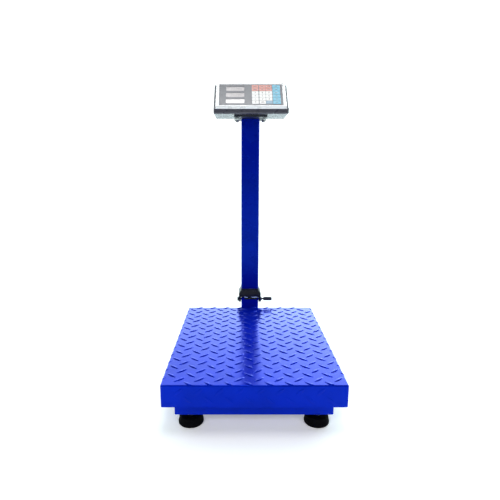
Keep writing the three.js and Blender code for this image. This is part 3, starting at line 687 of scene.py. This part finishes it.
# ---------------------------------------------------------------- hinge
def make_grip():
    low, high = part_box("lock_grip")
    radius, length = (high[2] - low[2]) / 2, high[0] - low[0]
    soft = 1.2 * MM
    profile = [
        (radius * 0.5, 0), (radius * 0.74, 0.1 * MM), (radius - 0.7 * MM, soft), (radius, 2.6 * MM),
        (radius, length - 4 * MM), (radius - 0.4 * MM, length - 2 * MM),
        (radius - 1.4 * MM, length - 0.6 * MM),
        (radius - 3 * MM, length),
    ]

    def fluted(r, z, angle):
        deep = 0.55 * MM * max(0, math.cos(12 * angle)) ** 2
        return r - (deep if 2 * MM < z < length - 3 * MM else 0)

    mesh = lathe("grip", profile, 192, (0, 0, 0), fluted)
    turn = Matrix.Rotation(math.radians(90), 4, "Y")
    mesh.transform(Matrix.Translation((low[0], (low[1] + high[1]) / 2, (low[2] + high[2]) / 2)) @ turn)
    piece("lock_grip_fluted", mesh, BODY_OF["lock_grip"], "grip_plastic", replaces=["lock_grip"])


# ---------------------------------------------------------------- indicator
KEY_SPANS = [(3.1 * MM, 22.5 * MM), (24.5 * MM, 42.9 * MM), (43.7 * MM, 62.1 * MM), (63.7 * MM, 86.3 * MM)]
KEY_PITCH = 14.4 * MM
KEY_GAP = 1.0 * MM
KEY_ROWS = 6
WINDOW = (54 * MM, 19 * MM)
DIGITS = [["7", "8", "9"], ["4", "5", "6"], ["1", "2", "3"], ["0", "00", "."]]


def key_ink(column, row):
    if column == 3:
        return "cyan"
    if row < 2:
        return "salmon"
    return "slate" if column == 2 and row == KEY_ROWS - 1 else "white"


def make_keypad():
    place, size = face_frame("keypad_panel")
    down = Matrix.Translation((0, 0, -0.6 * MM))
    sheet = place @ down
    windows = []
    for node in ("lcd_weight", "lcd_price", "lcd_total"):
        at = in_frame(place, node)
        windows.append(rounded_outline(WINDOW[0] - 0.6 * MM, WINDOW[1] - 0.6 * MM, 3 * MM, at.x, at.y))
    outlines = [rounded_outline(size[0], size[1], 1.2 * MM)] + windows
    body = BODY_OF["keypad_panel"]
    film = plate("overlay", outlines, -2.0 * MM, 0.0, sheet, 0.08 * MM)
    piece("keypad_overlay", film, body, "overlay", replaces=["keypad_panel"])
    inks = {name: [] for name in KEY_INKS}
    marks = []
    top = size[1] / 2 - 1.8 * MM
    for column, (left, right) in enumerate(KEY_SPANS):
        for row in range(KEY_ROWS):
            x, y = (left + right) / 2, top - KEY_PITCH * row - (KEY_PITCH - KEY_GAP) / 2
            outline = rounded_outline(right - left, KEY_PITCH - KEY_GAP, 1.4 * MM, x, y, 4)
            key = plate("key", [outline], -0.2 * MM, 0.45 * MM, sheet, 0.15 * MM)
            inks[key_ink(column, row)].append(key)
            marks.append(legend(column, row, x, y, sheet @ Matrix.Translation((0, 0, 0.45 * MM))))
    for name, meshes in inks.items():
        piece("keys_" + name, merged("keys", meshes), body, "overlay", KEY_INKS[name])
    piece("key_legends", merged("legends", marks), body, "overlay", LEGEND)


def legend(column, row, x, y, place):
    """A numeral on the number keys, and a plain mark on the others."""
    if column < 3 and row >= 2:
        return numeral(DIGITS[row - 2][column], 6.5 * MM, x, y, place)
    width = [9, 6, 9, 7][column] * MM
    return plate("mark", [rounded_outline(width, 2.2 * MM, 0.8 * MM, x, y, 3)], 0.0, 0.04 * MM, place)


SEGMENTS = {
    "0": "abcdef", "1": "bc", "2": "abged", "3": "abgcd", "4": "fgbc",
    "5": "afgcd", "6": "afgedc", "7": "abc", "8": "abcdefg", "9": "abcdfg",
}


def seven_segments(text, height, x, y, place):
    """Slanted seven-segment digits, centred on (x, y)."""
    width, stroke, gap = height * 0.52, height * 0.11, height * 0.78
    spots = {
        "a": (0, 1, True), "g": (0, 0, True), "d": (0, -1, True),
        "f": (-1, 0.5, False), "b": (1, 0.5, False), "e": (-1, -0.5, False), "c": (1, -0.5, False),
    }
    meshes = []
    for i, digit in enumerate(text):
        middle = x + (i - (len(text) - 1) / 2) * gap
        for name in SEGMENTS[digit]:
            across, up, flat = spots[name]
            long = (width if flat else height / 2) - stroke * 1.25
            size = (long, stroke) if flat else (stroke, long)
            v = up * (height - stroke) / 2
            u = middle + across * (width - stroke) / 2 + v * 0.12
            outline = rounded_outline(*size, stroke * 0.45, u, y + v, 2)
            meshes.append(plate("segment", [outline], 0, 0.03 * MM, place))
    return meshes


def make_displays(nodes, text):
    for node in nodes:
        refined(node, 0.2 * MM)
        module, _ = face_frame(node)
        meshes = seven_segments(text, 9 * MM, 0, 0, module @ Matrix.Translation((4 * MM, 0, 0)))
        piece(node + "_digits", merged("digits", meshes), BODY_OF[node], "display", SEGMENT)


# ---------------------------------------------------------------- the whole scale
make_camera()
make_stage()
make_pan()
make_load_cell()
make_feet()
make_grip()
make_keypad()
make_displays(["lcd_weight", "lcd_price", "lcd_total"], "88888")
make_displays(["rear_lcd_weight", "rear_lcd_price", "rear_lcd_total"], "88888")

ROUNDING = {
    "hinge_collar": 0.9, "mount_plate": 0.6, "head_bezel": 0.9, "base_frame": 0.7, "post_bracket": 0.7,
    "load_bridge": 0.7, "column_tube": 0.5, "rear_panel": 0.3, "head_shell": 0.5,
}
done = {n for o in bpy.data.objects if "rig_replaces" in o for n in o["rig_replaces"]}
for node in sorted(set(frame["nodes"]) - done):
    # The column tube takes the darker copy of the blue enamel, which paints shade onto it.
    coat = COLUMN_SHADED_ENAMEL if node == "column_tube" else None
    refined(node, ROUNDING.get(node, 0.3) * MM, material=coat)
